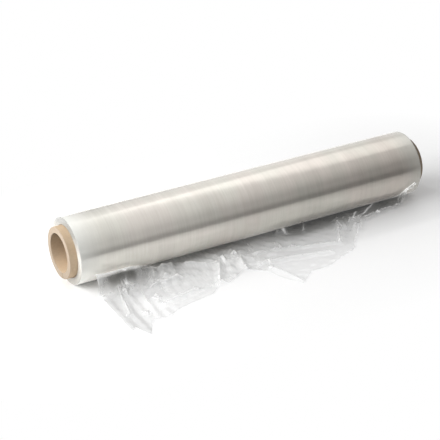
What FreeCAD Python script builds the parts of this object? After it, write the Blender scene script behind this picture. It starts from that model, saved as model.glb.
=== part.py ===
"""A roll of clear stretch wrap on a cardboard core, lying on its side, in millimetres.

The roll's axis runs along X. The table is z = 0, and the loose, torn end of the film
lies on it in front of the roll, towards -Y. The origin is the middle of the flat spot
that the soft roll lies on.
"""

import FreeCAD
import Part
import math
import os
from bisect import bisect_right

# The cardboard core
core_bore = 50.0
core_wall = 8.0
core_overhang = 10.0
core_chamfer = 0.6

# The wound film
film_width = 500.0
wound_depth = 10.0
rim_chamfer = 0.8
flat_spot = 10.0

# The turns' edges, which show as a spiral at both ends
turn_pitch = 2.0
turn_step = 0.35

# The loose film: a real web is 0.02 mm thick, this one is as thick as a solid needs
web_thickness = 0.5
web_bite = 1.0
roll_gap = 0.1
left_inset = 19.0
right_inset = 10.0
column_pitch = 5.2
row_count = 12

# Where the film was torn off: share of the film's width from its left end, and how far
# the film reaches out in front of the roll's contact line there
torn_edge = [
    (0.00, 121.0), (0.033, 145.0), (0.050, 133.0), (0.069, 159.0), (0.100, 132.0),
    (0.139, 134.0), (0.189, 123.0), (0.285, 114.0), (0.331, 94.0), (0.344, 102.0),
    (0.404, 83.0), (0.456, 100.0), (0.471, 125.0), (0.500, 148.0), (0.550, 127.0),
    (0.594, 128.0), (0.648, 117.0), (0.706, 105.0), (0.746, 82.0), (0.800, 53.0),
    (0.886, 43.0), (0.940, 42.0), (0.972, 47.0), (1.00, 49.0),
]
tooth_height = 2.2
tooth_pitch = 8.5

# How ragged the tear is: share of the width, and share of the full height of its teeth
tear_raggedness = [
    (0.00, 0.5), (0.06, 0.7), (0.10, 0.25), (0.44, 0.3), (0.50, 0.4), (0.62, 0.6),
    (0.68, 1.2), (1.00, 1.2),
]

# Where the film comes off the roll: share of the width, and the angle up the roll's
# front. It clings to the front at the left, where it then hangs down as a curtain, and at
# the right end.
peel_angle = [
    (0.00, 66.0), (0.038, 65.0), (0.070, 61.0), (0.131, 61.0), (0.160, 55.0),
    (0.195, 32.0), (0.235, 10.0), (0.300, 7.0), (0.905, 7.0), (0.935, 30.0),
    (0.955, 66.0), (0.980, 78.0), (1.00, 78.0),
]
pleat_fall = 12.0
pleat_bulge = 0.8
root_fall = 9.0
pleat_ripple = 2.6
pleat_ripple_pitch = 13.0

# Folds that stand up from the table: share of the width and reach of both ends, then
# height and half width
folds = [
    (0.086, 54.0, 0.062, 108.0, 6.5, 7.0),
    (0.138, 56.0, 0.112, 128.0, 4.0, 8.0),
    (0.160, 70.0, 0.235, 64.0, 6.0, 7.0),
    (0.172, 34.0, 0.256, 31.0, 5.0, 7.0),
    (0.158, 108.0, 0.260, 97.0, 4.5, 8.0),
    (0.290, 36.0, 0.365, 58.0, 4.0, 8.0),
    (0.376, 46.0, 0.318, 100.0, 9.0, 8.0),
    (0.382, 48.0, 0.420, 60.0, 8.0, 7.0),
    (0.420, 60.0, 0.412, 84.0, 7.0, 7.0),
    (0.405, 50.0, 0.680, 80.0, 4.0, 7.0),
    (0.455, 78.0, 0.645, 98.0, 4.5, 7.0),
    (0.470, 96.0, 0.500, 140.0, 4.0, 8.0),
    (0.570, 26.0, 0.622, 18.0, 8.0, 6.0),
    (0.660, 16.0, 0.640, 36.0, 9.0, 5.0),
    (0.742, 36.0, 0.690, 84.0, 8.0, 7.0),
    (0.765, 36.0, 0.900, 18.0, 7.0, 6.0),
    (0.775, 46.0, 0.955, 38.0, 9.0, 6.0),
]
crumple_height = 1.5
crumple_pitch = 31.0

core_radius = core_bore / 2 + core_wall
roll_radius = core_radius + wound_depth
axis_height = math.sqrt(roll_radius**2 - (flat_spot / 2) ** 2)
half_width = film_width / 2
core_half_length = half_width + core_overhang

axis_point = FreeCAD.Vector(0, 0, axis_height)
along_axis = FreeCAD.Vector(1, 0, 0)


def at_radius(x, radius):
    """The point above the roll's axis at x and the given radius."""
    return FreeCAD.Vector(x, 0, axis_height + radius)


def revolved(points):
    """A closed profile of (x, radius) corners, turned round the roll's axis."""
    corners = [at_radius(x, radius) for x, radius in points]
    profile = Part.Face(Part.makePolygon(corners + corners[:1]))
    return profile.revolve(axis_point, along_axis, 360)


def cardboard_core():
    """The tube, with the worn corners of its cut ends."""
    bore_radius = core_bore / 2
    return revolved([
        (-core_half_length, bore_radius + core_chamfer),
        (-core_half_length, core_radius - core_chamfer),
        (-core_half_length + core_chamfer, core_radius),
        (core_half_length - core_chamfer, core_radius),
        (core_half_length, core_radius - core_chamfer),
        (core_half_length, bore_radius + core_chamfer),
        (core_half_length - core_chamfer, bore_radius),
        (-core_half_length + core_chamfer, bore_radius),
    ])


def wound_turns():
    """The wound film as a thick tube on the core, with worn outer rims."""
    return revolved([
        (-half_width, core_radius),
        (-half_width, roll_radius - rim_chamfer),
        (-half_width + rim_chamfer, roll_radius),
        (half_width - rim_chamfer, roll_radius),
        (half_width, roll_radius - rim_chamfer),
        (half_width, core_radius),
    ])


def spiral_half_turns(x, start_radius, turns):
    """A flat spiral in the plane at x, as half circles with two centres by turns."""
    arcs = []
    radius = start_radius
    centre = 0.0
    side = 1
    for _ in range(2 * turns):
        ends = [
            FreeCAD.Vector(x, centre + side * radius, axis_height),
            FreeCAD.Vector(x, centre, axis_height + side * radius),
            FreeCAD.Vector(x, centre - side * radius, axis_height),
        ]
        arcs.append(Part.Arc(*ends).toShape())
        radius += turn_pitch / 2
        centre += side * turn_pitch / 2
        side = -side
    return arcs


def turn_edges(side):
    """The spiral of film edges that stands proud of one end face."""
    rib = turn_pitch / 2
    start = core_radius + rib / 2
    turns = int((roll_radius - rim_chamfer - rib - start) / turn_pitch)
    x = side * (half_width - turn_step)
    inner = spiral_half_turns(x, start, turns)
    outer = spiral_half_turns(x, start + rib, turns)
    closing = [
        Part.makeLine(inner[0].Vertexes[0].Point, outer[0].Vertexes[0].Point),
        Part.makeLine(inner[-1].Vertexes[1].Point, outer[-1].Vertexes[1].Point),
    ]
    outline = Part.Wire(Part.__sortEdges__(inner + outer + closing))
    return Part.Face(outline).extrude(FreeCAD.Vector(side * 2 * turn_step, 0, 0))


def table_side():
    """Everything below the table's face, to cut the flat spot with."""
    reach = core_half_length + roll_radius
    return Part.makeBox(
        2 * reach, 2 * reach, roll_radius, FreeCAD.Vector(-reach, -reach, -roll_radius)
    )


def between(points, share):
    """The value at a share, on straight lines between the listed points."""
    shares = [point[0] for point in points]
    i = min(max(bisect_right(shares, share), 1), len(points) - 1)
    (s0, v0), (s1, v1) = points[i - 1], points[i]
    return v0 + (v1 - v0) * (share - s0) / (s1 - s0)


def zigzag(value):
    """A triangle wave from -1 to 1 that repeats after 1."""
    return 4 * abs(value - math.floor(value + 0.5)) - 1


def fold_height(x, reach):
    """The highest fold at a place on the table."""
    height = 0.0
    for share_a, reach_a, share_b, reach_b, top, half in folds:
        ax, bx = (share_a - 0.5) * film_width, (share_b - 0.5) * film_width
        dx, dr = bx - ax, reach_b - reach_a
        along = ((x - ax) * dx + (reach - reach_a) * dr) / (dx * dx + dr * dr)
        along = min(max(along, 0.0), 1.0)
        away = math.hypot(x - ax - along * dx, reach - reach_a - along * dr)
        height = max(height, top * (1 - away / half))
    return height


def crumple(x, reach):
    """Small creases all over, of three crossing zigzags."""
    first = zigzag((x + 0.5 * reach) / crumple_pitch)
    second = zigzag((0.8 * x - 1.1 * reach) / (0.62 * crumple_pitch))
    third = zigzag((x + 2.3 * reach) / (1.37 * crumple_pitch))
    return crumple_height * (0.6 + 0.5 * first + 0.6 * second + 0.4 * third)


def under_roll(reach):
    """How high a film lying at a reach can stand before it meets the roll."""
    if reach >= roll_radius:
        return axis_height
    underside = axis_height - math.sqrt(roll_radius**2 - reach**2)
    return max(underside - web_thickness - roll_gap, 0.0)


def web_column(share):
    """One line of points under the loose film, from inside the roll to the tear."""
    x = (share - 0.5) * film_width
    angle = math.radians(between(peel_angle, share))
    root_reach = (roll_radius - web_bite) * math.sin(angle)
    root_height = axis_height - (roll_radius - web_bite) * math.cos(angle)
    teeth = zigzag(x / tooth_pitch) + 0.8 * zigzag(x / (0.57 * tooth_pitch))
    ragged = tooth_height * between(tear_raggedness, share)
    end_reach = between(torn_edge, share) + ragged * teeth
    pleat = 1 - math.cos(angle)
    fall = root_fall + pleat_fall * pleat
    points = []
    for row in range(row_count + 1):
        along = (row / row_count) ** 1.15
        reach = root_reach + (end_reach - root_reach) * along
        free = min((reach - root_reach) / fall, 1.0)
        drop = 0.5 + 0.5 * math.cos(math.pi * free ** (1 + pleat_bulge * pleat))
        ripple = pleat_ripple * pleat * zigzag(x / pleat_ripple_pitch) * free
        lying = max(fold_height(x, reach), crumple(x, reach)) + ripple
        height = max(root_height * drop + lying * free, 0.0)
        if row > 0:
            height = min(height, under_roll(reach))
        points.append(FreeCAD.Vector(x, -reach, height))
    return points


def loose_web():
    """The crumpled loose film as a closed solid of flat facets."""
    first = left_inset / film_width
    last = 1 - right_inset / film_width
    columns = round((last - first) * film_width / column_pitch)
    grid = [web_column(first + (last - first) * i / columns) for i in range(columns + 1)]
    rows = row_count + 1
    vertices = [point for column in grid for point in column]
    lift = FreeCAD.Vector(0, 0, web_thickness)
    vertices += [point + lift for point in vertices]
    top = len(grid) * rows

    def at(i, j):
        return i * rows + j

    facets = []
    for i in range(columns):
        for j in range(row_count):
            a, b, c, d = at(i, j), at(i + 1, j), at(i + 1, j + 1), at(i, j + 1)
            facets += [(a, b, c), (a, c, d)]
            facets += [(top + a, top + c, top + b), (top + a, top + d, top + c)]
    rim = [at(i, 0) for i in range(columns)]
    rim += [at(columns, j) for j in range(row_count)]
    rim += [at(i, row_count) for i in range(columns, 0, -1)]
    rim += [at(0, j) for j in range(row_count, 0, -1)]
    for a, b in zip(rim, rim[1:] + rim[:1]):
        facets += [(a, top + b, b), (a, top + a, top + b)]
    shell = Part.Shape()
    shell.makeShapeFromMesh((vertices, facets), 0.001)
    return Part.Solid(Part.Shell(shell.Faces))


def wound_film():
    """The wound turns with their flat spot, and the turns' edges at both ends."""
    return wound_turns().fuse([turn_edges(-1), turn_edges(1)]).cut(table_side())


def loose_film(wound):
    """The loose end of the same web, from the line where it leaves the roll."""
    return loose_web().cut(wound)


def main():
    os.makedirs("parts", exist_ok=True)
    wound = wound_film()
    nodes = {
        "cardboard_core": cardboard_core(),
        "wound_film": wound,
        "loose_film": loose_film(wound),
    }
    for name, shape in nodes.items():
        shape.Solids[0].exportStep(f"parts/{name}.step")
        sizes = [round(solid.Volume / 1000, 4) for solid in shape.Solids]
        print(name, "solids in cm3:", sizes, "sound:", shape.isValid())


main()
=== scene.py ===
import math

import bmesh
import bpy
import numpy as np
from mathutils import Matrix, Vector


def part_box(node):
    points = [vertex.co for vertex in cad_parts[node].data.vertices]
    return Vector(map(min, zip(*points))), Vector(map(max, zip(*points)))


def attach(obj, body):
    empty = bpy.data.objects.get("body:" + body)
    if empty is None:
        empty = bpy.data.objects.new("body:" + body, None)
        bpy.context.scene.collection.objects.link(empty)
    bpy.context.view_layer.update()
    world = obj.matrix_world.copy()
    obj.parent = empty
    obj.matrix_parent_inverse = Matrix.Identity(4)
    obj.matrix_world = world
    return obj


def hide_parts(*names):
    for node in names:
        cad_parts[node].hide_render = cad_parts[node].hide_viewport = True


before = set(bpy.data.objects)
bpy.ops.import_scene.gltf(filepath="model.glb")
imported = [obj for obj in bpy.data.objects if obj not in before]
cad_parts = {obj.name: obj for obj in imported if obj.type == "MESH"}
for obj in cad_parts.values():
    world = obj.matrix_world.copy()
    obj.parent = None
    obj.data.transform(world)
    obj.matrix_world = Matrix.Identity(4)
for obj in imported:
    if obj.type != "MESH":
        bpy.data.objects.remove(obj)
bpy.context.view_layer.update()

# Everything is in metres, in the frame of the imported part: the roll's axis runs along X,
# the table is z = 0 and the loose film lies on it towards -Y. The loose film's own lists
# are in mm: reach is how far a place lies in front of the roll's contact line, and share
# is its place across the web, from 0 at the left end to 1 at the right end.
filmLow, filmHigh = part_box("wound_film")
coreLow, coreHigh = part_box("cardboard_core")
axisHeight = (coreLow.z + coreHigh.z) / 2
filmRadius = (filmHigh.y - filmLow.y) / 2
coreRadius = (coreHigh.z - coreLow.z) / 2
filmWidth = 0.5
mm = 0.001
webWidth = filmWidth / mm

coreTube = {
    "outerRadius": coreRadius,
    "innerRadius": 0.025,
    "halfLength": (coreHigh.x - coreLow.x) / 2,
    "rimRound": 0.0006,
    "turnPitch": 0.00085,         # one ply of board in the wall
    "turnStep": 0.00012,          # how unevenly the plies are cut off
    "bandHeight": 0.0,            # board has no bands
    "seamPitch": 0.118,           # the strips of board wind round at this lead
    "seamDepth": 0.00035,
    "around": 144,
    "along": 300,
    "rings": 36,
}

woundFilm = {
    "outerRadius": filmRadius,
    "innerRadius": coreRadius,
    "halfLength": filmWidth / 2,
    "rimRound": 0.0012,
    "turnPitch": 0.0011,          # the film's edges show in groups of turns at the ends
    "turnStep": 0.0003,
    "bandHeight": 0.0001,         # slight hard bands round the roll
    "seamPitch": 0.5,
    "seamDepth": 0.0,             # film has no strips and so no seam
    "around": 192,
    "along": 200,
    "rings": 56,
}

# What both tubes share. Noise has its scale and detail.
tubeDetail = {
    "bandNoise": (45.0, 3.0),
    "seamHalf": 0.02,             # half width of the seam, in turns
    "tooth": 1.2,                 # at the ends, each turn has an even tooth
    "step": 0.8,                  # and is an uneven step off the next
    "stepNoise": (0.9, 1.0),
    "level": 0.4,
    "calmRim": 0.08,              # the rims stay even over this share of the wall
    "mergeWithin": 2e-6,
    "joinWithin": 1e-6,
}

# The loose film's shape, in mm
looseWeb = {
    "leftInset": 19,              # how far the film's sides are drawn in
    "rightInset": 10,
    "columns": 400,
    "rows": 104,
    "rowSpread": 1.15,            # above 1 the rows lie closer together at the roll
    "rollGap": 0.35,
    "lowest": 0.05,               # the film's lowest places, over the table
    "rootFall": 9,                # the film falls from the roll to the table over this reach,
    "pleatFall": 12,              # and over this much more where it hangs as a curtain,
    "pleatBulge": 0.8,            # which bulges and ripples
    "pleatRipple": 1.6,
    "pleatRipplePitch": 13,
    "toothHeight": 0.9,           # the tear has teeth and an uneven fringe
    "toothPitch": 8.5,
    "fringeHeight": 3.0,
    "fringePitch": 6.5,
    "fringeChange": (0.5, 0.7, 23),   # mean, change and the change's pitch
    "curlWidth": 3.5,             # the torn edge curls up
    "curlChange": (0.7, 0.6, 7),
    "foldSharpness": 1.6,
    "starArms": 3,
    "starArm": 0.35,              # share of a peak's spread by which its arms stand out
    "starTurn": 1.7,              # radians from one peak to the next
    "calm": 0.12,                 # how creased the film is away from the bunches
    "bunchLimit": 1.6,
    "calmFrom": 58,               # past this reach it lies smoother
    "calmFull": 83,
    "calmLoss": 0.65,
    "crumpleHeight": 1.5,
    "crumplePitch": 31,
    "crumpleLift": 0.6,           # shares of the crumple height
    "crumpleShare": 0.7,
    "crumpleLevel": 0.42,
    "crumpleLeast": 0.35,         # how far the bunches raise the crumples
    "crumpleBunch": 0.5,
    "crumpleBend": (12, 55),      # how far the crumples wander, and over what distance
    "creaseBend": (5, 38),
    "creasePatch": 34,            # fine creases come and go over this distance
    "creaseGain": 2.2,
    "creaseLoss": 0.1,
    "creaseSteepness": 0.085,
    "seed": 7,
}

# Two sizes of teeth and of fringe threads: share of the height and share of the pitch
toothSizes = [(1.0, 1.0), (0.8, 0.57)]
fringeSizes = [(1.0, 1.0), (0.5, 0.37)]

# Large crumples are crossing waves: how they run with x, with reach and with the bend,
# then shares of the pitch and the height
crumpleWaves = [(1.0, 0.5, 1, 1.0, 0.5), (0.8, -1.1, -1, 0.62, 0.6), (1.0, 2.3, 1, 1.37, 0.4)]

# Where the film was torn off: share, reach
tornEdge = [
    (0.00, 121), (0.033, 145), (0.050, 133), (0.069, 159), (0.100, 132), (0.139, 134),
    (0.189, 123), (0.285, 114), (0.331, 94), (0.344, 102), (0.404, 83), (0.456, 100),
    (0.471, 125), (0.500, 148), (0.550, 127), (0.594, 128), (0.648, 117), (0.706, 105),
    (0.746, 82), (0.800, 53), (0.886, 43), (0.940, 42), (0.972, 47), (1.00, 49),
]

# Where the film comes off the roll: share, and degrees up the roll's front
peelAngle = [
    (0.00, 66), (0.038, 65), (0.070, 61), (0.131, 61), (0.160, 55), (0.195, 36), (0.235, 24),
    (0.300, 20), (0.380, 15), (0.440, 7), (0.905, 7), (0.935, 30), (0.955, 66), (0.980, 78),
    (1.00, 78),
]

# Folds that stand up from the table: share and reach of both ends, height and half width
folds = [
    (0.086, 54, 0.062, 108, 4.5, 6), (0.138, 56, 0.112, 128, 2.5, 8),
    (0.160, 70, 0.235, 64, 6.0, 7), (0.172, 34, 0.256, 31, 5.0, 7),
    (0.158, 108, 0.260, 97, 4.5, 8), (0.290, 36, 0.365, 58, 4.0, 8),
    (0.376, 46, 0.318, 100, 5.0, 8), (0.382, 48, 0.420, 60, 3.5, 8),
    (0.420, 60, 0.412, 84, 3.5, 8), (0.405, 50, 0.680, 80, 2.5, 8),
    (0.455, 78, 0.645, 98, 3.0, 8), (0.470, 96, 0.500, 140, 4.0, 8),
    (0.570, 26, 0.622, 18, 8.0, 6), (0.660, 16, 0.640, 36, 9.0, 5),
    (0.742, 36, 0.690, 84, 8.0, 7), (0.765, 36, 0.900, 18, 3.0, 6),
    (0.775, 44, 0.955, 40, 3.5, 6),
]

# Small peaks where the film is pinched: x, reach, spread and height
stars = [
    (-198, 52, 7, 7), (-202, 64, 8, 8), (-172, 88, 9, 5), (-128, 61, 8, 5), (-198, 116, 8, 4),
    (-59, 49, 8, 9), (-40, 45, 7, 7), (-42, 79, 7, 5), (60, 17, 6, 7), (120, 38, 8, 8),
    (138, 44, 7, 6), (180, 46, 7, 7), (225, 36, 7, 8), (95, 80, 7, 4), (20, 62, 8, 4),
]

# Painted glints, white and glowing where sharp little facets would mirror the lamps: x, reach,
# half length, half width, and direction in radians from the roll's axis
glints = [
    (-192, 41.5, 2.6, 1.5, 0.3), (-194, 49.5, 4.2, 1.5, 0.5), (-194, 49.5, 3.6, 1.5, 1.9),
    (-148, 29.5, 17, 1.0, -0.05), (-204, 52, 2.2, 1.2, 1.0), (-174, 91, 6, 1.0, 1.7),
    (-126, 63, 4, 1.0, 0.1), (-60, 55, 5, 1.3, 1.6), (-86, 88, 4, 1.2, 1.9),
    (-37, 47, 4, 1.0, 0.0), (-10, 80, 6, 1.2, 1.6), (46, 25, 5, 3.0, 1.0),
    (78, 10, 8, 0.8, 1.57), (118, 47, 3.5, 1.6, 1.4), (142, 44, 3, 1.4, 0.4),
    (183, 42, 3, 1.2, 0.8), (228, 42, 3, 1.3, 1.2), (173, 28.6, 21, 0.9, -0.46),
    (150, 34, 12, 0.8, -0.62), (206, 38, 3, 1.1, 0.3), (160, 43, 3.5, 1.2, 0.1),
]

# Where the film is bunched up: x, reach and spread
bunches = [
    (-195, 35, 42), (-150, 40, 30), (-55, 62, 34), (130, 45, 34), (190, 35, 36), (232, 25, 30),
    (20, 60, 30),
]

# Fine creases: direction in radians and pitch
fineCreases = [(0.25, 15.0), (1.1, 11.0), (-0.5, 13.0), (1.75, 9.0), (0.7, 19.0)]

# How ragged the tear is, by share, and how far its edge curls up
tearRaggedness = [
    (0, 0.5), (0.06, 0.7), (0.1, 0.25), (0.44, 0.3), (0.5, 0.4), (0.62, 0.6), (0.68, 1.2),
    (1, 1.2),
]
tearCurl = [(0, 0), (0.7, 0), (0.76, 3.5), (0.94, 5), (0.955, 2), (1, 0)]

# Looks. In the loose film's, a pair says where an effect starts and where it is full. In all
# of them, a row of four numbers says how one value follows another: while that one goes from
# the first to the second, this one goes from the third to the fourth. Noise has its scale,
# detail and roughness, and bump its strength and depth.
filmLook = {
    "haze": 0.08,                 # how cloudy one flat layer is
    # how much each zone adds to the cloudiness and the painted shade, and to the painted glow
    "hazeFrom": {"lip": 0.10, "close": 0.70, "double": 0.24, "side": 0.40},
    "shadeFrom": {"pocket": 0.9, "gapShade": 0.55, "wing": 0.25},
    "glintFrom": {"close": 1.0, "side": 0.8, "layered": 0.4},
    "gapClear": 0.9,              # the film over the gap and over the pocket is clearer
    "pocketClear": 0.9,
    "creaseWhite": 0.6,           # whiter where creased sharply: the film's own whitening and painted highlight
    "creaseSharp": (0.12, 0.82),
    "spark": 0.9,
    "peelGlint": 1.5,             # painted highlights along the peel line, the side and the tear
    "peelWidth": 2.2,
    "sideGlint": 0.9,
    "sideWidth": 1.0,
    "tearGlint": 0.9,
    "tearWidth": 1.2,
    "tearMean": 0.6,
    "tearPitch": 5,
    "raggedness": (0.5, 1.5),     # a smooth tear doesn't catch it
    "clings": (0.2, 0.2 + 1 / 3),     # how steeply the film comes off the roll
    "lipWidth": 2.0,              # the film's sides and its tear are a little cloudier
    "left": (0.18, 0.15),         # the curtain, by share
    "closeWidth": 5,              # where it still clings to the roll, and at its side
    "curtainSide": 6,
    "doubleLeft": (0.16, 0.20),   # where the web lies double, by share,
    "doubleRight": (0.52, 0.42),
    "doubleFar": (1.5, 120, 75),  # and how cloudy that makes it over which reach
    "doubleNear": (0.8, 50, 30),
    "layeredNear": (28, 43),
    "layeredFar": (95, 75),
    "gapLeft": (0.5, 0.62),       # the gap under the roll's right half
    "gapFar": (52, 38),
    "pocketAt": (-197, 45.5),     # the pocket of air behind the curtain: x and reach
    "pocketSize": (20, 4.5),
    "wingRight": (0.12, 0.08),    # the tip in front of the curtain
    "wingNear": (55, 65),
    "seenThrough": 0.975,         # light that passes the film each time
    "shadow": 0.35,               # how much of its cloudiness shows in its own shadow
    "paintedGlow": 0.40,              # how brightly the film glows: painted glints and painted glow
    "colour": (0.88, 0.885, 0.88),
    "whiteColour": (0.95, 0.95, 0.94),
    "shadeColour": (0.11, 0.11, 0.10),
    "whiteCloud": 0.8,
    "shadeCloud": 0.78,
    "cloudMost": 0.95,
    "roughness": 0.5,
    "glossRoughness": 0.10,
    "facing": 0.28,
    "drawnNoise": ((300, 60, 60), 3.0, 0.6),     # streaks from stretching
    "drawn": (0.3, 0.7, 0.85, 1.2),
    "drawnRidges": (0.25, 0.0003),
    "shaded": (0.0, 0.5, 0.0, 1.0),
    "mirror": (0.0, 1.0, 0.05, 0.75),
    "hazeMirror": (0.0, 0.08, 0.35, 1.0),
}

boardLook = {
    "fibreNoise": ((260, 700, 700), 5.0, 0.65),
    "fibres": ((0.52, 0.39, 0.26), (0.76, 0.61, 0.45)),
    "cloudColour": (0.62, 0.44, 0.27),
    "cloudNoise": (45.0, 3.0, 0.55),
    "cloud": (0.35, 0.7, 0.0, 0.4),
    "borePaintedShade": (-0.02, 0.02, 1.15, 0.42),      # painted shade: the bore is darker at its top, paler at its bottom,
    "borePly": (0.001, 0.002),                   # and only this deep into the wall
    "ply": (0.3, 0.5, 0.0, 0.45),
    "cutColours": ((0.49, 0.40, 0.31), (0.36, 0.28, 0.20)),
    # painted shade: the cut ends are darker towards the bottom
    "cutPaintedShade": (-0.03, 0.02, 0.84, 1.0),
    "cutDepth": (0.0007, 0.0002, 0.0, 1.0),
    "seamColour": (0.24, 0.15, 0.08),
    "seam": (0.0, 0.012, 1.0, 0.0),
    "seamDark": 0.5,
    "seamGroove": 0.8,
    "shadedColour": (0.13, 0.12, 0.11),
    "shadedDepth": (0.0015, 0.0005, 0.0, 0.6),   # below the outside
    "shadedEnd": (0.245, 0.251, 0.0, 1.0),       # along X
    "roughness": 0.82,
    "specular": 0.3,
    "grain": (0.5, 0.0003),
}

rollLook = {
    "fineNoise": ((420, 16, 16), 3.0, 0.7),
    "finestNoise": ((1200, 26, 26), 2.0, 0.6),
    "broadNoise": ((60, 12, 12), 2.0, 0.5),
    "tintNoise": ((26, 16, 16), 2.0, 0.5),
    "colours": ((0.44, 0.405, 0.36), (0.84, 0.80, 0.74)),     # right end, left end; the left end's paler colour is painted light
    "coolColour": (0.58, 0.61, 0.54),
    "cool": (0.40, 0.64, 0.0, 0.28),
    "warmColour": (0.64, 0.57, 0.53),
    "warm": (0.52, 0.32, 0.0, 0.20),
    "fine": (0.3, 0.7, 0.95, 1.05),
    "finest": (0.3, 0.7, -0.025, 0.025),
    "broad": (0.3, 0.7, -0.05, 0.05),
    "paleColour": (0.94, 0.94, 0.89),
    "pale": (0.0, 1.0, 0.25, 1.0),
    "paleDepth": (0.035, 0.003, 0.0, 0.95),      # this and the other depths: from the ends in
    # the end faces are milky pale; their change with height is painted light and shade
    "endColours": ((0.42, 0.41, 0.37), (0.84, 0.82, 0.77), (0.38, 0.38, 0.36)),
    "endLow": (0.015, 0.050, 0.0, 1.0),
    "endHigh": (0.052, 0.076, 0.0, 1.0),
    "endDepth": (0.0010, 0.0004, 0.0, 1.0),
    "metallicDepth": (0.030, 0.002, 0.55, 0.15),
    "roughness": (0.3, 0.7, 0.16, 0.26),
    "broadRidge": 2.0,
    "ridges": (0.35, 0.00025),
}

tableLook = {
    "colour": (0.93, 0.93, 0.93, 1.0),
    "roughness": 0.6,
    "specular": 0.2,
    "fade": (0.12, 0.26, 0.0, 1.0),          # this far from the roll it turns plain white
    "lift": 0.08,                            # how much paler it is to the eye than it is lit
    "mirrored": (-0.16, -0.05, 0.0, 0.50),   # and where the roll mirrors it close by
    "firstBounce": 1.5,                      # that light is only for rays of fewer bounces
}

studio = {
    "cameraAt": (-0.8818, -1.5050, 0.9623),
    "lookAt": (-0.03487, 0.0, 0.02895),
    "lens": 125.0,
    "sensor": 36.0,
    "floorHalf": 4.0,
    "tableFront": 0.285,          # the pale table that the roll mirrors ends here
    "ambient": (-0.6, 0.8, 0.57, 0.28),   # share of the studio's light on matt surfaces, by x
    "darkest": 0.04,              # the sum of the sky's terms is never less
}

# The studio's brightness by direction: each line is one term, the product of its rows
skyTerms = [
    {"z": (0.0, 0.22, 0.20, 0.56)},                                # from the horizon up
    {"z": (0.45, 0.95, 0.0, 0.30)},                                # overhead
    {"y": (-0.05, 0.35, 0.0, 0.32)},                               # behind
    {"x": (0.36, 0.56, 0.0, 1.0), "z": (0.45, 0.85, -0.26, 0.36)},     # right: dark low, pale high
    {"x": (0.30, 0.43, 0.14, 0.0), "z": (0.0, 0.22, 0.0, 1.0), "y": (0.0, 0.4, 1.0, 0.0)},
    {"x": (0.36, 0.46, 0.0, 0.6), "y": (0.45, 0.8, 0.0, 1.0)},     # far behind, at the right
]
# and what is taken off it: far behind, at the left
skyLess = {"x": (0.36, 0.46, 1.0, 0.0), "y": (0.45, 0.8, 0.0, 0.30)}

# Lamps: place, width and depth in metres, power in watts. The key is a wide softbox on the
# left, which casts the shadow to the right.
lamps = {
    "overhead": ((1.15, 0.64, 1.50), (1.30, 0.95), 3.3),
    "key": ((-2.00, 0.30, 1.30), (2.30, 0.90), 57.0),
    "glint": ((-0.95, 0.50, 0.80), (0.08, 0.08), 0.5),
    "paintedGlow": ((-0.35, 0.90, 1.20), (0.10, 0.10), 1.6),
}


# Node helpers, for shader trees and geometry trees alike
def feed(tree, value, socket):
    if isinstance(value, bpy.types.NodeSocket):
        tree.links.new(value, socket)
    else:
        socket.default_value = value


def maths(tree, operation, *values):
    node = tree.nodes.new("ShaderNodeMath")
    node.operation = operation
    for value, socket in zip(values, node.inputs):
        feed(tree, value, socket)
    return node.outputs[0]


def plus(tree, first, *others):
    for other in others:
        first = maths(tree, "ADD", first, other)
    return first


def times(tree, first, *others):
    for other in others:
        first = maths(tree, "MULTIPLY", first, other)
    return first


def minus(tree, first, second):
    return maths(tree, "SUBTRACT", first, second)


def apart(tree, first, second):
    return maths(tree, "ABSOLUTE", minus(tree, first, second))


def joinXyz(tree, x, y, z):
    node = tree.nodes.new("ShaderNodeCombineXYZ")
    for value, socket in zip((x, y, z), node.inputs):
        feed(tree, value, socket)
    return node.outputs[0]


def splitXyz(tree, vector):
    node = tree.nodes.new("ShaderNodeSeparateXYZ")
    feed(tree, vector, node.inputs[0])
    return node.outputs


def noiseAlong(tree, position, scale, detail):
    node = tree.nodes.new("ShaderNodeTexNoise")
    node.noise_dimensions = "1D"
    feed(tree, position, node.inputs["W"])
    node.inputs["Scale"].default_value = scale
    node.inputs["Detail"].default_value = detail
    return node.outputs[0]


def noiseOver(tree, vector, scale, detail, roughness):
    node = tree.nodes.new("ShaderNodeTexNoise")
    feed(tree, vector, node.inputs["Vector"])
    node.inputs["Scale"].default_value = scale
    node.inputs["Detail"].default_value = detail
    node.inputs["Roughness"].default_value = roughness
    return node.outputs[0]


def streaks(tree, place, scale, detail, roughness):
    node = tree.nodes.new("ShaderNodeMapping")
    feed(tree, place, node.inputs["Vector"])
    node.inputs["Scale"].default_value = scale
    return noiseOver(tree, node.outputs[0], 1.0, detail, roughness)


def ranged(tree, value, fromLow, fromHigh, toLow, toHigh):
    node = tree.nodes.new("ShaderNodeMapRange")
    for given, socket in zip((value, fromLow, fromHigh, toLow, toHigh), node.inputs):
        feed(tree, given, socket)
    return node.outputs[0]


def nearLimit(tree, value, limit, row):
    # a row whose first two numbers say how far short of the limit it starts and ends
    start, full, low, high = row
    return ranged(tree, value, limit - start, limit - full, low, high)


def blended(tree, factor, first, second):
    node = tree.nodes.new("ShaderNodeMix")
    node.data_type = "RGBA"
    feed(tree, factor, node.inputs["Factor"])
    for given, socket in ((first, node.inputs[6]), (second, node.inputs[7])):
        feed(tree, given if isinstance(given, bpy.types.NodeSocket) else (*given, 1.0), socket)
    return node.outputs[2]


def scaledColour(tree, colour, factor):
    node = tree.nodes.new("ShaderNodeVectorMath")
    node.operation = "SCALE"
    feed(tree, colour, node.inputs[0])
    feed(tree, factor, node.inputs["Scale"])
    return node.outputs[0]


def bumped(tree, height, strength, distance):
    node = tree.nodes.new("ShaderNodeBump")
    node.inputs["Strength"].default_value = strength
    node.inputs["Distance"].default_value = distance
    feed(tree, height, node.inputs["Height"])
    return node.outputs[0]


def mixedShader(tree, factor, first, second):
    node = tree.nodes.new("ShaderNodeMixShader")
    for given, socket in zip((factor, first, second), node.inputs):
        tree.links.new(given, socket)
    return node.outputs[0]


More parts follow.
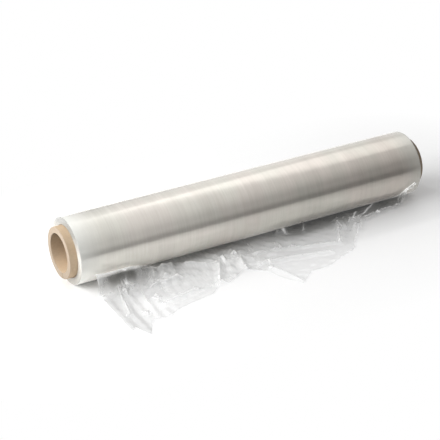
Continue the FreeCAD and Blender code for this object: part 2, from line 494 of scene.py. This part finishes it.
def newMaterial(name):
    material = bpy.data.materials.new(name)
    material.use_nodes = True
    tree = material.node_tree
    place = tree.nodes.new("ShaderNodeTexCoord").outputs["Object"]
    return material, tree, tree.nodes["Principled BSDF"], place


# Materials
def boardMaterial():
    look = boardLook
    material, tree, surface, place = newMaterial("kraftBoard")
    x, y, z = splitXyz(tree, place)
    up = minus(tree, z, axisHeight)
    radius = maths(tree, "SQRT", plus(tree, times(tree, y, y), times(tree, up, up)))
    around = maths(tree, "DIVIDE", maths(tree, "ARCTAN2", up, y), 2 * math.pi)
    fibres = streaks(tree, place, *look["fibreNoise"])
    clouds = noiseOver(tree, place, *look["cloudNoise"])
    paper = blended(tree, fibres, *look["fibres"])
    paper = blended(tree, ranged(tree, clouds, *look["cloud"]), paper, look["cloudColour"])
    start, full = (coreTube["innerRadius"] + depth for depth in look["borePly"])
    # painted shade in the bore, darkest at its top
    inside = ranged(tree, up, *look["borePaintedShade"])
    inside = ranged(tree, radius, start, full, inside, 1.0)
    paper = scaledColour(tree, paper, inside)
    # the cut ends show every ply
    ply = maths(tree, "FRACT", maths(tree, "DIVIDE", radius, coreTube["turnPitch"]))
    plyLine = ranged(tree, apart(tree, ply, 0.5), *look["ply"])
    cutEnd = blended(tree, plyLine, *look["cutColours"])
    # painted shade: darker towards the bottom of the cut end
    cutEnd = scaledColour(tree, cutEnd, ranged(tree, up, *look["cutPaintedShade"]))
    fromMiddle = maths(tree, "ABSOLUTE", x)
    atEnd = nearLimit(tree, fromMiddle, coreTube["halfLength"], look["cutDepth"])
    paper = blended(tree, atEnd, paper, cutEnd)
    # a dark line where two strips of board meet, running round in a screw
    turn = plus(tree, maths(tree, "DIVIDE", x, coreTube["seamPitch"]), around)
    seam = ranged(tree, apart(tree, maths(tree, "FRACT", turn), 0.5), *look["seam"])
    paper = blended(tree, times(tree, seam, look["seamDark"]), paper, look["seamColour"])
    # the far end's outside stands in the roll's own shade
    shade = nearLimit(tree, radius, coreTube["outerRadius"], look["shadedDepth"])
    shade = times(tree, shade, ranged(tree, x, *look["shadedEnd"]), minus(tree, 1.0, atEnd))
    paper = blended(tree, shade, paper, look["shadedColour"])
    tree.links.new(paper, surface.inputs["Base Color"])
    surface.inputs["Roughness"].default_value = look["roughness"]
    surface.inputs["Specular IOR Level"].default_value = look["specular"]
    grain = minus(tree, fibres, times(tree, seam, look["seamGroove"]))
    tree.links.new(bumped(tree, grain, *look["grain"]), surface.inputs["Normal"])
    return material


def rollFilmMaterial():
    look, half = rollLook, woundFilm["halfLength"]
    material, tree, surface, place = newMaterial("filmOnRoll")
    x, _, z = splitXyz(tree, place)
    # stretched film shows streaks round the roll, fine ones and broad tinted ones
    fine = streaks(tree, place, *look["fineNoise"])
    finest = streaks(tree, place, *look["finestNoise"])
    broad = streaks(tree, place, *look["broadNoise"])
    tint = streaks(tree, place, *look["tintNoise"])
    # painted light: the film is paler towards the left end, standing in for the key lamp's light
    # glowing through it
    paintedLeftLight = ranged(tree, x, -half, half, 1.0, 0.0)
    film = blended(tree, paintedLeftLight, *look["colours"])
    film = blended(tree, ranged(tree, tint, *look["cool"]), film, look["coolColour"])
    film = blended(tree, ranged(tree, tint, *look["warm"]), film, look["warmColour"])
    streak = [ranged(tree, fine, *look["fine"]), ranged(tree, finest, *look["finest"])]
    streak.append(ranged(tree, broad, *look["broad"]))
    film = scaledColour(tree, film, plus(tree, *streak))
    # light gets in at the ends, so the film is paler there
    fromMiddle = maths(tree, "ABSOLUTE", x)
    pale = ranged(tree, paintedLeftLight, *look["pale"])
    pale = times(tree, nearLimit(tree, fromMiddle, half, look["paleDepth"]), pale)
    film = blended(tree, pale, film, look["paleColour"])
    # the end faces: milky pale, with painted light and shade by height, darker low down and at the
    # top
    lowest, middle, highest = look["endColours"]
    endFace = blended(tree, ranged(tree, z, *look["endLow"]), lowest, middle)
    endFace = blended(tree, ranged(tree, z, *look["endHigh"]), endFace, highest)
    film = blended(tree, nearLimit(tree, fromMiddle, half, look["endDepth"]), film, endFace)
    tree.links.new(film, surface.inputs["Base Color"])
    metallic = nearLimit(tree, fromMiddle, half, look["metallicDepth"])
    tree.links.new(metallic, surface.inputs["Metallic"])
    tree.links.new(ranged(tree, fine, *look["roughness"]), surface.inputs["Roughness"])
    ridges = plus(tree, fine, times(tree, broad, look["broadRidge"]))
    tree.links.new(bumped(tree, ridges, *look["ridges"]), surface.inputs["Normal"])
    return material


def looseFilmMaterial():
    look = filmLook
    material, tree, surface, place = newMaterial("looseFilmClear")
    given = {}
    for label in ("haze", "white", "shade", "glint"):
        node = tree.nodes.new("ShaderNodeAttribute")
        node.attribute_name = label
        given[label] = node.outputs["Fac"]
    drawn = streaks(tree, place, *look["drawnNoise"])
    film = blended(tree, given["white"], look["colour"], look["whiteColour"])
    # painted shade: the film turns towards a dark colour where its shade value is set
    shade = ranged(tree, given["shade"], *look["shaded"])
    film = blended(tree, shade, film, look["shadeColour"])
    tree.links.new(film, surface.inputs["Base Color"])
    surface.inputs["Roughness"].default_value = look["roughness"]
    surface.inputs["Specular IOR Level"].default_value = 0.0
    # painted light: the film glows in painted glints where creases too fine to model would
    # mirror the lamps, and in a painted glow along the peel line, the curtain and the doubled film
    surface.inputs["Emission Color"].default_value = (1, 1, 1, 1)
    paintedGlow = times(tree, given["glint"], look["paintedGlow"])
    tree.links.new(paintedGlow, surface.inputs["Emission Strength"])
    cloud = times(tree, given["haze"], ranged(tree, drawn, *look["drawn"]))
    cloud = plus(tree, cloud, times(tree, given["white"], look["whiteCloud"]))
    cloud = plus(tree, cloud, times(tree, given["shade"], look["shadeCloud"]))
    through = tree.nodes.new("ShaderNodeLightPath").outputs["Is Shadow Ray"]
    inShadow = ranged(tree, through, 0.0, 1.0, 1.0, look["shadow"])
    cloud = maths(tree, "MINIMUM", times(tree, cloud, inShadow), look["cloudMost"])
    clear = tree.nodes.new("ShaderNodeBsdfTransparent")
    clear.inputs["Color"].default_value = (*[look["seenThrough"]] * 3, 1.0)
    body = mixedShader(tree, cloud, clear.outputs[0], surface.outputs[0])
    # both faces of the film reflect
    bump = bumped(tree, drawn, *look["drawnRidges"])
    tree.links.new(bump, surface.inputs["Normal"])
    gloss = tree.nodes.new("ShaderNodeBsdfGlossy")
    gloss.inputs["Roughness"].default_value = look["glossRoughness"]
    tree.links.new(bump, gloss.inputs["Normal"])
    facing = tree.nodes.new("ShaderNodeLayerWeight")
    facing.inputs["Blend"].default_value = look["facing"]
    tree.links.new(bump, facing.inputs["Normal"])
    mirror = ranged(tree, facing.outputs["Fresnel"], *look["mirror"])
    cloudMirror = ranged(tree, given["haze"], *look["hazeMirror"])
    mirror = times(tree, mirror, inShadow, cloudMirror)
    whole = mixedShader(tree, mirror, body, gloss.outputs[0])
    tree.links.new(whole, tree.nodes["Material Output"].inputs["Surface"])
    return material


def seenDirectly(tree, light):
    return maths(tree, "MAXIMUM", light["Is Camera Ray"], light["Is Transmission Ray"])


def tableMaterial():
    look = tableLook
    material, tree, surface, place = newMaterial("paleTable")
    surface.inputs["Base Color"].default_value = look["colour"]
    surface.inputs["Roughness"].default_value = look["roughness"]
    surface.inputs["Specular IOR Level"].default_value = look["specular"]
    surface.inputs["Emission Color"].default_value = (1, 1, 1, 1)
    x, y, _ = splitXyz(tree, place)
    # how far a place is from the roll's contact line
    past = minus(tree, maths(tree, "ABSOLUTE", x), filmWidth / 2)
    past = maths(tree, "MAXIMUM", past, 0.0)
    away = maths(tree, "SQRT", plus(tree, times(tree, past, past), times(tree, y, y)))
    light = tree.nodes.new("ShaderNodeLightPath").outputs
    seen = seenDirectly(tree, light)
    once = maths(tree, "LESS_THAN", light["Ray Depth"], look["firstBounce"])
    mirrored = ranged(tree, y, *look["mirrored"])
    lift = times(tree, light["Is Glossy Ray"], once, mirrored)
    lift = plus(tree, lift, times(tree, seen, look["lift"]))
    tree.links.new(lift, surface.inputs["Emission Strength"])
    white = tree.nodes.new("ShaderNodeEmission")
    fade = times(tree, ranged(tree, away, *look["fade"]), seen)
    mix = mixedShader(tree, fade, surface.outputs[0], white.outputs[0])
    tree.links.new(mix, tree.nodes["Material Output"].inputs["Surface"])
    return material


# The core and the wound film are both tubes wound from turns: one tree makes them
def tubeTree():
    detail = tubeDetail
    tree = bpy.data.node_groups.new("woundTube", "GeometryNodeTree")
    tree.interface.new_socket("Geometry", in_out="OUTPUT", socket_type="NodeSocketGeometry")
    sockets = {
        "NodeSocketFloat": ("outerRadius", "innerRadius", "halfLength", "rimRound", "turnPitch",
                            "turnStep", "bandHeight", "seamPitch", "seamDepth", "axisHeight"),
        "NodeSocketInt": ("around", "along", "rings"),
        "NodeSocketMaterial": ("material",),
    }
    for kind, labels in sockets.items():
        for label in labels:
            tree.interface.new_socket(label, in_out="INPUT", socket_type=kind)
    given = tree.nodes.new("NodeGroupInput").outputs
    place = tree.nodes.new("GeometryNodeInputPosition").outputs[0]
    u, w, _ = splitXyz(tree, place)
    half = given["halfLength"]
    rim = given["rimRound"]

    def wallRadius(x, base, outward):
        # the rounded rim, hard bands and the seam of the strips, at one place on a wall
        over = minus(tree, maths(tree, "ABSOLUTE", x), minus(tree, half, rim))
        over = maths(tree, "MAXIMUM", over, 0.0)
        left = minus(tree, times(tree, rim, rim), times(tree, over, over))
        left = maths(tree, "SQRT", maths(tree, "MAXIMUM", left, 0.0))
        drop = minus(tree, rim, left)
        bands = minus(tree, noiseAlong(tree, x, *detail["bandNoise"]), 0.5)
        bands = times(tree, bands, times(tree, given["bandHeight"], 2.0))
        turn = plus(tree, maths(tree, "DIVIDE", x, given["seamPitch"]), w)
        seam = apart(tree, maths(tree, "FRACT", turn), 0.5)
        seam = ranged(tree, seam, 0.0, detail["seamHalf"], 1.0, 0.0)
        inset = plus(tree, minus(tree, drop, bands), times(tree, seam, given["seamDepth"]))
        return maths(tree, "SUBTRACT" if outward else "ADD", base, inset)

    def placed(grid, x, radius):
        # the grid's points go round the axis, and none goes below the table
        angle = times(tree, w, 2 * math.pi)
        y = times(tree, radius, maths(tree, "COSINE", angle))
        z = plus(tree, times(tree, radius, maths(tree, "SINE", angle)), given["axisHeight"])
        node = tree.nodes.new("GeometryNodeSetPosition")
        tree.links.new(grid, node.inputs["Geometry"])
        position = joinXyz(tree, x, y, maths(tree, "MAXIMUM", z, 0.0))
        tree.links.new(position, node.inputs["Position"])
        return node.outputs[0]

    def grid(rows):
        node = tree.nodes.new("GeometryNodeMeshGrid")
        tree.links.new(given[rows], node.inputs["Vertices X"])
        tree.links.new(given["around"], node.inputs["Vertices Y"])
        return node.outputs[0]

    parts = []
    # rows of the walls lie closer together at the rims
    wallX = times(tree, maths(tree, "SINE", times(tree, u, math.pi)), half)
    for base, outward in ((given["outerRadius"], True), (given["innerRadius"], False)):
        parts.append(placed(grid("along"), wallX, wallRadius(wallX, base, outward)))
    ring = plus(tree, u, 0.5)
    for side in (-1.0, 1.0):
        end = times(tree, half, side)
        outer = wallRadius(end, given["outerRadius"], True)
        inner = wallRadius(end, given["innerRadius"], False)
        radius = plus(tree, inner, times(tree, ring, minus(tree, outer, inner)))
        # the turns' edges wind outwards as a spiral, each group a little off the next
        turns = minus(tree, maths(tree, "DIVIDE", radius, given["turnPitch"]), w)
        tooth = apart(tree, maths(tree, "FRACT", turns), 0.5)
        step = noiseAlong(tree, turns, *detail["stepNoise"])
        relief = times(tree, step, detail["step"])
        relief = plus(tree, times(tree, tooth, detail["tooth"]), relief)
        relief = minus(tree, relief, detail["level"])
        edge = maths(tree, "MINIMUM", ring, minus(tree, 1.0, ring))
        calm = ranged(tree, edge, 0.0, detail["calmRim"], 0.0, 1.0)
        relief = times(tree, relief, calm, given["turnStep"])
        x = plus(tree, end, times(tree, relief, side))
        parts.append(placed(grid("rings"), x, radius))

    joined = tree.nodes.new("GeometryNodeJoinGeometry")
    for part in parts:
        tree.links.new(part, joined.inputs[0])
    merged = tree.nodes.new("GeometryNodeMergeByDistance")
    merged.inputs["Distance"].default_value = detail["mergeWithin"]
    real = tree.nodes.new("GeometryNodeRealizeInstances")
    painted = tree.nodes.new("GeometryNodeSetMaterial")
    tree.links.new(joined.outputs[0], merged.inputs["Geometry"])
    tree.links.new(merged.outputs[0], real.inputs[0])
    tree.links.new(real.outputs[0], painted.inputs["Geometry"])
    tree.links.new(given["material"], painted.inputs["Material"])
    out = tree.nodes.new("NodeGroupOutput")
    tree.links.new(painted.outputs[0], out.inputs[0])
    return tree


def makeTube(name, tree, sizes, material):
    carrier = bpy.data.objects.new(name + "Carrier", bpy.data.meshes.new(name + "Carrier"))
    bpy.context.scene.collection.objects.link(carrier)
    modifier = carrier.modifiers.new("woundTube", "NODES")
    modifier.node_group = tree
    values = dict(sizes, axisHeight=axisHeight, material=material)
    for item in tree.interface.items_tree:
        if item.in_out == "INPUT":
            modifier[item.identifier] = values[item.name]
    graph = bpy.context.evaluated_depsgraph_get()
    mesh = bpy.data.meshes.new_from_object(carrier.evaluated_get(graph))
    bpy.data.objects.remove(carrier)
    # close the tube and turn its faces outwards
    work = bmesh.new()
    work.from_mesh(mesh)
    bmesh.ops.remove_doubles(work, verts=work.verts, dist=tubeDetail["joinWithin"])
    bmesh.ops.recalc_face_normals(work, faces=work.faces)
    work.to_mesh(mesh)
    work.free()
    return meshPiece(name, mesh, material)


def meshPiece(name, mesh, material):
    mesh.name = name
    mesh.materials.clear()
    mesh.materials.append(material)
    mesh.shade_smooth()
    piece = bpy.data.objects.new(name, mesh)
    bpy.context.scene.collection.objects.link(piece)
    print(name, len(mesh.polygons), "faces")
    return piece


# The loose film
def alongList(points, share):
    shares, values = zip(*points)
    return np.interp(share, shares, values)


def ramp(value, start, full):
    return np.clip((value - start) / (full - start), 0, 1)


def zigzag(value):
    return 4 * np.abs(value - np.floor(value + 0.5)) - 1


def swell(value):
    # a soft wave with its lows and tops where the zigzag has them
    return -np.cos(2 * math.pi * value)


def lattice(x, y, pitch, seed):
    # soft noise from -1 to 1, from random values on a square lattice
    size, shift = 256, 60
    values = np.random.default_rng(seed).uniform(-1, 1, (size, size))
    gx, gy = x / pitch + shift, y / pitch + shift
    ix, iy = np.floor(gx).astype(int), np.floor(gy).astype(int)
    fx, fy = gx - ix, gy - iy
    fx, fy = fx * fx * (3 - 2 * fx), fy * fy * (3 - 2 * fy)
    ix, iy, nextX, nextY = ix % size, iy % size, (ix + 1) % size, (iy + 1) % size
    low = values[ix, iy] * (1 - fx) + values[nextX, iy] * fx
    high = values[ix, nextY] * (1 - fx) + values[nextX, nextY] * fx
    return low * (1 - fy) + high * fy


def foldHeight(x, reach):
    height = np.zeros_like(x)
    for shareA, reachA, shareB, reachB, top, half in folds:
        ax, bx = (shareA - 0.5) * webWidth, (shareB - 0.5) * webWidth
        dx, dr = bx - ax, reachB - reachA
        along = np.clip(((x - ax) * dx + (reach - reachA) * dr) / (dx * dx + dr * dr), 0, 1)
        away = np.hypot(x - ax - along * dx, reach - reachA - along * dr)
        slope = np.maximum(1 - away / half, 0) ** looseWeb["foldSharpness"]
        height = np.maximum(height, top * slope)
    return height


def crumple(x, reach):
    web, seed = looseWeb, looseWeb["seed"]
    size, level = web["crumpleHeight"], web["crumpleLevel"] * web["crumpleHeight"]
    wander, wanderPitch = web["crumpleBend"]
    bend = wander * lattice(x, reach, wanderPitch, seed)
    waves = 0 * x
    for alongX, alongReach, bends, pitch, top in crumpleWaves:
        phase = (alongX * x + alongReach * reach + bends * bend) / (pitch * web["crumplePitch"])
        waves = waves + top * swell(phase)
    bunch = bunched(x, reach)
    raised = np.minimum(web["crumpleLeast"] + web["crumpleBunch"] * bunch, 1)
    large = size * (web["crumpleLift"] + waves * raised)
    # straight fine creases that come and go, most where the film is bunched
    small = 0 * x
    wander, wanderPitch = web["creaseBend"]
    for number, (turn, pitch) in enumerate(fineCreases):
        bend = wander * lattice(x, reach, wanderPitch, seed + 10 + number)
        across = x * math.cos(turn) + reach * math.sin(turn) + bend
        patch = lattice(x, reach, web["creasePatch"], seed + 20 + number)
        here = np.clip(patch * web["creaseGain"] - web["creaseLoss"], 0, 1)
        small = small + pitch * web["creaseSteepness"] * here * (1 + zigzag(across / pitch))
    smooth = 1 - web["calmLoss"] * ramp(reach, web["calmFrom"], web["calmFull"])
    return level + (web["crumpleShare"] * large - level + small * bunch) * smooth


def bunched(x, reach):
    amount = looseWeb["calm"] + 0 * x
    for centreX, centreReach, spread in bunches:
        far = np.hypot(x - centreX, reach - centreReach) / spread
        amount = amount + np.exp(-far * far)
    return np.minimum(amount, looseWeb["bunchLimit"])


def starHeight(x, reach):
    web = looseWeb
    height = 0 * x
    for number, (centreX, centreReach, spread, top) in enumerate(stars):
        dx, dr = x - centreX, reach - centreReach
        angle = web["starArms"] * np.arctan2(dr, dx) + web["starTurn"] * number
        arm = spread * (1 - web["starArm"] + web["starArm"] * np.cos(angle))
        height = np.maximum(height, top * (1 - np.hypot(dx, dr) / arm))
    return height


def glintWhite(x, reach):
    white = 0 * x
    for centreX, centreReach, length, width, turn in glints:
        dx, dr = x - centreX, reach - centreReach
        along = dx * math.cos(turn) + dr * math.sin(turn)
        across = dr * math.cos(turn) - dx * math.sin(turn)
        white = np.maximum(white, np.exp(-(along / length) ** 2 - (across / width) ** 2))
    return white


def underRoll(reach):
    # how high the film can lie before it touches the roll's underside
    radius, height = filmRadius / mm, axisHeight / mm
    inside = np.minimum(reach, radius)
    underside = height - np.sqrt(radius ** 2 - inside ** 2)
    return np.where(reach < radius, np.maximum(underside - looseWeb["rollGap"], 0), height)


def tearFringe(x):
    web, seed = looseWeb, looseWeb["seed"]
    teeth = sum(top * zigzag(x / (pitch * web["toothPitch"])) for top, pitch in toothSizes)
    fringe = 0 * x
    for number, (top, pitch) in enumerate(fringeSizes):
        fringe = fringe + top * lattice(x, 0 * x, pitch * web["fringePitch"], seed + 5 + number)
    mean, change, pitch = web["fringeChange"]
    fringe = fringe * (mean + change * lattice(x, 0 * x, pitch, seed + 7))
    return web["toothHeight"] * teeth + web["fringeHeight"] * fringe


def filmShape():
    # the film as a grid: columns across the web, and rows from the roll to the tear
    web = looseWeb
    left, right = web["leftInset"] / webWidth, 1 - web["rightInset"] / webWidth
    share = np.linspace(left, right, web["columns"] + 1)[:, None]
    along = (np.linspace(0, 1, web["rows"] + 1) ** web["rowSpread"])[None, :]
    x = (share - 0.5) * webWidth + 0 * along
    angle = np.radians(alongList(peelAngle, share))
    radius = filmRadius / mm + web["rollGap"]
    root = radius * np.sin(angle)
    rootHeight = axisHeight / mm - radius * np.cos(angle)
    ragged = alongList(tearRaggedness, share)
    end = alongList(tornEdge, share) + ragged * tearFringe(x[:, :1])
    reach = root + (end - root) * along
    # it falls from the roll to the table, and bulges where it hangs as a curtain
    steep = 1 - np.cos(angle)
    free = np.minimum((reach - root) / (web["rootFall"] + web["pleatFall"] * steep), 1)
    drop = 0.5 + 0.5 * np.cos(math.pi * free ** (1 + web["pleatBulge"] * steep))
    ripple = web["pleatRipple"] * steep * zigzag(x / web["pleatRipplePitch"]) * free
    mean, change, pitch = web["curlChange"]
    curl = alongList(tearCurl, share) * np.exp(-(end - reach) / web["curlWidth"])
    curl = curl * (mean + change * lattice(x, reach, pitch, web["seed"] + 8))
    lying = np.maximum(foldHeight(x, reach), starHeight(x, reach)) + crumple(x, reach)
    height = rootHeight * drop + (lying + ripple + curl) * free
    height = np.where(along > 0, np.minimum(height, underRoll(reach)), height)
    height = np.maximum(height, web["lowest"])
    return {"x": x, "share": share, "reach": reach, "height": height, "root": root, "end": end,
            "steep": steep, "free": free, "ragged": ragged, "offRoll": along > 0}


def sharpness(x, reach, height):
    # how sharply the film is creased, as seen from above
    slopeX = np.gradient(height, axis=0) / np.gradient(x, axis=0)
    slopeReach = np.gradient(height, axis=1) / np.gradient(reach, axis=1)
    bend = np.gradient(slopeX, axis=0) / np.gradient(x, axis=0)
    return -bend - np.gradient(slopeReach, axis=1) / np.gradient(reach, axis=1)


def filmZones(shape):
    # where the film looks different, and how much
    look = filmLook
    x, share, reach = shape["x"], shape["share"], shape["reach"]
    fromRoot, toTear = reach - shape["root"], shape["end"] - reach
    toSide = (share - share[0]) * webWidth + 0 * x
    atLeft = ramp(share, *look["left"])
    hanging = 1 - shape["free"] ** 2
    double = ramp(share, *look["doubleLeft"]) * ramp(share, *look["doubleRight"])
    layered = ramp(reach, *look["layeredNear"]) * ramp(reach, *look["layeredFar"])
    (farAmount, *farRange), (nearAmount, *nearRange) = look["doubleFar"], look["doubleNear"]
    thick = farAmount * ramp(reach, *farRange) + nearAmount * ramp(reach, *nearRange)
    (pocketX, pocketReach), (pocketWide, pocketDeep) = look["pocketAt"], look["pocketSize"]
    pocket = ((x - pocketX) / pocketWide) ** 4 + ((reach - pocketReach) / pocketDeep) ** 2
    clings = ramp(shape["steep"], *look["clings"])
    torn = ramp(shape["ragged"], *look["raggedness"])
    lip = np.exp(-np.minimum(toTear, toSide) / look["lipWidth"])
    gap = ramp(share, *look["gapLeft"]) * ramp(reach, *look["gapFar"])
    return {
        "lip": lip,
        "peel": np.exp(-(fromRoot / look["peelWidth"]) ** 2) * clings,
        "close": np.exp(-(fromRoot / look["closeWidth"]) ** 4) * clings * atLeft,
        "rimSide": np.exp(-toSide / look["sideWidth"]) * hanging,
        "side": np.exp(-toSide / look["curtainSide"]) * hanging * atLeft,
        "rimTear": np.exp(-toTear / look["tearWidth"]) * torn,
        "double": double * thick,
        "layered": double * layered,
        "gap": gap,
        "gapShade": gap * (1 - lip),
        "pocket": np.exp(-pocket),
        "wing": ramp(share, *look["wingRight"]) * ramp(reach, *look["wingNear"]),
    }


def filmLooks(shape):
    # four values for each point: how cloudy, how white, how much painted shade and painted glow
    look = filmLook
    x, reach, zone = shape["x"], shape["reach"], filmZones(shape)
    # painted highlights: creases, peel line, side, tear and listed glints turn whiter; at creases
    # partly real
    white = ramp(sharpness(x, reach, shape["height"]), *look["creaseSharp"])
    white = look["creaseWhite"] * white * shape["offRoll"]
    uneven = look["tearMean"] + lattice(x, reach, look["tearPitch"], looseWeb["seed"] + 9)
    rim = look["peelGlint"] * zone["peel"] + look["sideGlint"] * zone["rimSide"]
    rim = rim + look["tearGlint"] * zone["rimTear"] * uneven
    spark = look["spark"] * glintWhite(x, reach) * shape["offRoll"]
    white = np.clip(white + rim, 0, 1) + spark
    glint = np.clip(rim + spark, 0, 1)
    for name, weight in look["glintFrom"].items():
        glint = np.maximum(glint, weight * zone[name])
    haze = look["haze"] + sum(weight * zone[name] for name, weight in look["hazeFrom"].items())
    haze = haze * (1 - look["gapClear"] * zone["gap"]) * (1 - look["pocketClear"] * zone["pocket"])
    # painted shade behind the curtain and in the gap under the roll's right half; the wing is
    # darker
    shade = sum(weight * zone[name] for name, weight in look["shadeFrom"].items())
    shade = np.clip(shade * (1 - white), 0, 1)
    return {"haze": haze, "white": white, "shade": shade, "glint": glint}


def makeLooseFilm(material):
    shape = filmShape()
    x, reach = shape["x"], shape["reach"]
    points = np.stack([x, -reach, shape["height"]], axis=-1).reshape(-1, 3) * mm
    index = np.arange(x.size).reshape(x.shape)
    corners = [index[:-1, :-1], index[:-1, 1:], index[1:, 1:], index[1:, :-1]]
    quads = np.stack(corners, axis=-1).reshape(-1, 4)
    mesh = bpy.data.meshes.new("looseFilm")
    mesh.from_pydata(points.tolist(), [], quads.tolist())
    for label, values in filmLooks(shape).items():
        attribute = mesh.attributes.new(label, "FLOAT", "POINT")
        attribute.data.foreach_set("value", values.astype(np.float32).ravel())
    piece = meshPiece("looseFilm", mesh, material)
    run = (shape["end"] - shape["root"])[:, 0]
    across = x[:, 0]
    flatSize = (float(across[-1] - across[0]) * mm, float(run.max()) * mm)
    return piece, flatSize, float(np.trapz(run, across)) * mm * mm


# Studio
def makeTable():
    half, front = studio["floorHalf"], studio["tableFront"]
    mesh = bpy.data.meshes.new("table")
    corners = [(-half, -front, 0), (half, -front, 0), (half, half, 0), (-half, half, 0)]
    mesh.from_pydata(corners, [], [(0, 1, 2, 3)])
    mesh.materials.append(tableMaterial())
    table = bpy.data.objects.new("table", mesh)
    bpy.context.scene.collection.objects.link(table)


def makeWorld():
    # the roll's round side mirrors a strip of the studio, from the horizon in front over the
    # top to the back
    world = bpy.data.worlds.new("studio")
    bpy.context.scene.world = world
    world.use_nodes = True
    tree = world.node_tree
    direction = tree.nodes.new("ShaderNodeTexCoord").outputs["Generated"]
    axes = dict(zip("xyz", splitXyz(tree, direction)))

    def term(rows):
        return times(tree, *[ranged(tree, axes[axis], *row) for axis, row in rows.items()])

    level = plus(tree, *[term(rows) for rows in skyTerms])
    level = minus(tree, maths(tree, "MAXIMUM", level, studio["darkest"]), term(skyLess))
    light = tree.nodes.new("ShaderNodeLightPath").outputs
    ambient = ranged(tree, axes["x"], *studio["ambient"])
    level = times(tree, level, ranged(tree, light["Is Diffuse Ray"], 0.0, 1.0, 1.0, ambient))
    # the camera sees it plain white
    seen = seenDirectly(tree, light)
    level = plus(tree, times(tree, level, minus(tree, 1.0, seen)), seen)
    back = tree.nodes["Background"]
    back.inputs["Color"].default_value = (1, 1, 1, 1)
    tree.links.new(level, back.inputs["Strength"])


def makeLamp(name, place, size, power):
    data = bpy.data.lights.new(name, "AREA")
    data.shape = "RECTANGLE"
    data.size, data.size_y = size
    data.energy = power
    lamp = bpy.data.objects.new(name, data)
    lamp.location = place
    lamp.rotation_mode = "QUATERNION"
    lamp.rotation_quaternion = (-Vector(place)).to_track_quat("-Z", "Y")
    lamp.visible_camera = False
    lamp.visible_glossy = name != "key"         # the others are mirrored in the film
    bpy.context.scene.collection.objects.link(lamp)


def makeCamera():
    data = bpy.data.cameras.new("camera")
    data.lens = studio["lens"]
    data.sensor_width = studio["sensor"]
    camera = bpy.data.objects.new("camera", data)
    camera.location = studio["cameraAt"]
    toward = Vector(studio["lookAt"]) - Vector(studio["cameraAt"])
    camera.rotation_mode = "QUATERNION"
    camera.rotation_quaternion = toward.to_track_quat("-Z", "Y")
    bpy.context.scene.collection.objects.link(camera)
    bpy.context.scene.camera = camera


bpy.context.scene.view_settings.view_transform = "Standard"
makeCamera()
makeTable()
makeWorld()
for lampName, (lampPlace, lampSize, lampPower) in lamps.items():
    makeLamp(lampName, lampPlace, lampSize, lampPower)
print("studio ready")

tubes = tubeTree()
core = makeTube("coreTube", tubes, coreTube, boardMaterial())
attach(core, "root")
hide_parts("cardboard_core")

wound = makeTube("woundFilm", tubes, woundFilm, rollFilmMaterial())
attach(wound, "root")
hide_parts("wound_film")

loose, flatSize, flatArea = makeLooseFilm(looseFilmMaterial())
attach(loose, "root")
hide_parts("loose_film")
print("pieces ready")
